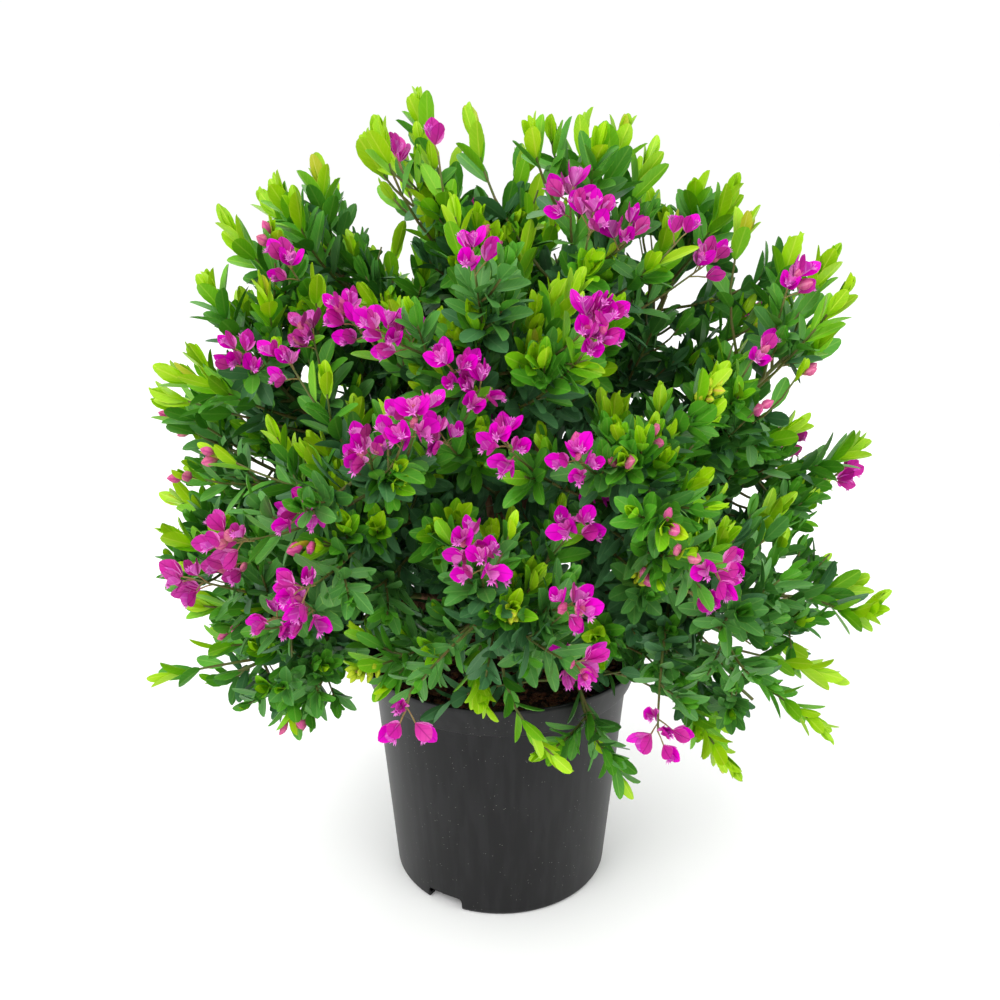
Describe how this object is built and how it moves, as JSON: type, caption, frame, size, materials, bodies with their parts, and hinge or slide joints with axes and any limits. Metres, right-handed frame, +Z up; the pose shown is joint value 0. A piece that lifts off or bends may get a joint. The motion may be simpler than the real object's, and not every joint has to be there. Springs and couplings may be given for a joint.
{
  "type": "potted myrtle-leaf milkwort",
  "caption": "Rounded evergreen flowering shrub with small leaves and magenta pea-like blooms, growing in a tapered black nursery pot that stands on its flat underside.",
  "frame": {"origin": "centre of the pot's flat underside, at the level it stands on", "axes": "+Z up along the pot's axis, -Y towards the front of the plant, +X to the viewer's right"},
  "size_m": [0.6225, 0.534, 0.6494],
  "materials": {
    "pot_plastic": "matte moulded plastic, dusty",
    "potting_soil": "rough crumbly peat and bark chips",
    "bark": "rough brown bark",
    "green_bark": "smooth young bark",
    "foliage": "satin leaves",
    "blossom": "soft petals"
  },
  "bodies": {
    "root": {"pot": "pot_plastic", "soil": "potting_soil", "trunk": "bark", "bough_right_low": "green_bark", "bough_right_mid": "green_bark", "bough_right_high": "green_bark", "bough_right_crest": "green_bark", "bough_crest_right": "green_bark", "bough_crest_left": "green_bark", "bough_left_crest": "green_bark", "bough_left_high": "green_bark", "bough_left_mid": "green_bark", "bough_left_low": "green_bark", "bough_left_skirt": "green_bark", "bough_front_left_low": "green_bark", "bough_front_left": "green_bark", "bough_front_centre": "green_bark", "bough_front_right": "green_bark", "bough_front_right_low": "green_bark", "bough_front_high": "green_bark", "bough_right_skirt": "green_bark", "bough_front_skirt": "green_bark", "bough_back_left_low": "green_bark", "bough_back_low": "green_bark", "bough_back_right_low": "green_bark", "bough_back_left_high": "green_bark", "bough_back_right_high": "green_bark", "bough_back_high": "green_bark", "foliage_right_low": "foliage", "foliage_right_mid": "foliage", "foliage_right_high": "foliage", "foliage_right_crest": "foliage", "foliage_crest_right": "foliage", "foliage_crest_left": "foliage", "foliage_left_crest": "foliage", "foliage_left_high": "foliage", "foliage_left_mid": "foliage", "foliage_left_low": "foliage", "foliage_left_skirt": "foliage", "foliage_front_left_low": "foliage", "foliage_front_left": "foliage", "foliage_front_centre": "foliage", "foliage_front_right": "foliage", "foliage_front_right_low": "foliage", "foliage_front_high": "foliage", "foliage_right_skirt": "foliage", "foliage_front_skirt": "foliage", "foliage_back_left_low": "foliage", "foliage_back_low": "foliage", "foliage_back_right_low": "foliage", "foliage_back_left_high": "foliage", "foliage_back_right_high": "foliage", "foliage_back_high": "foliage"}
  },
  "joints": []
}
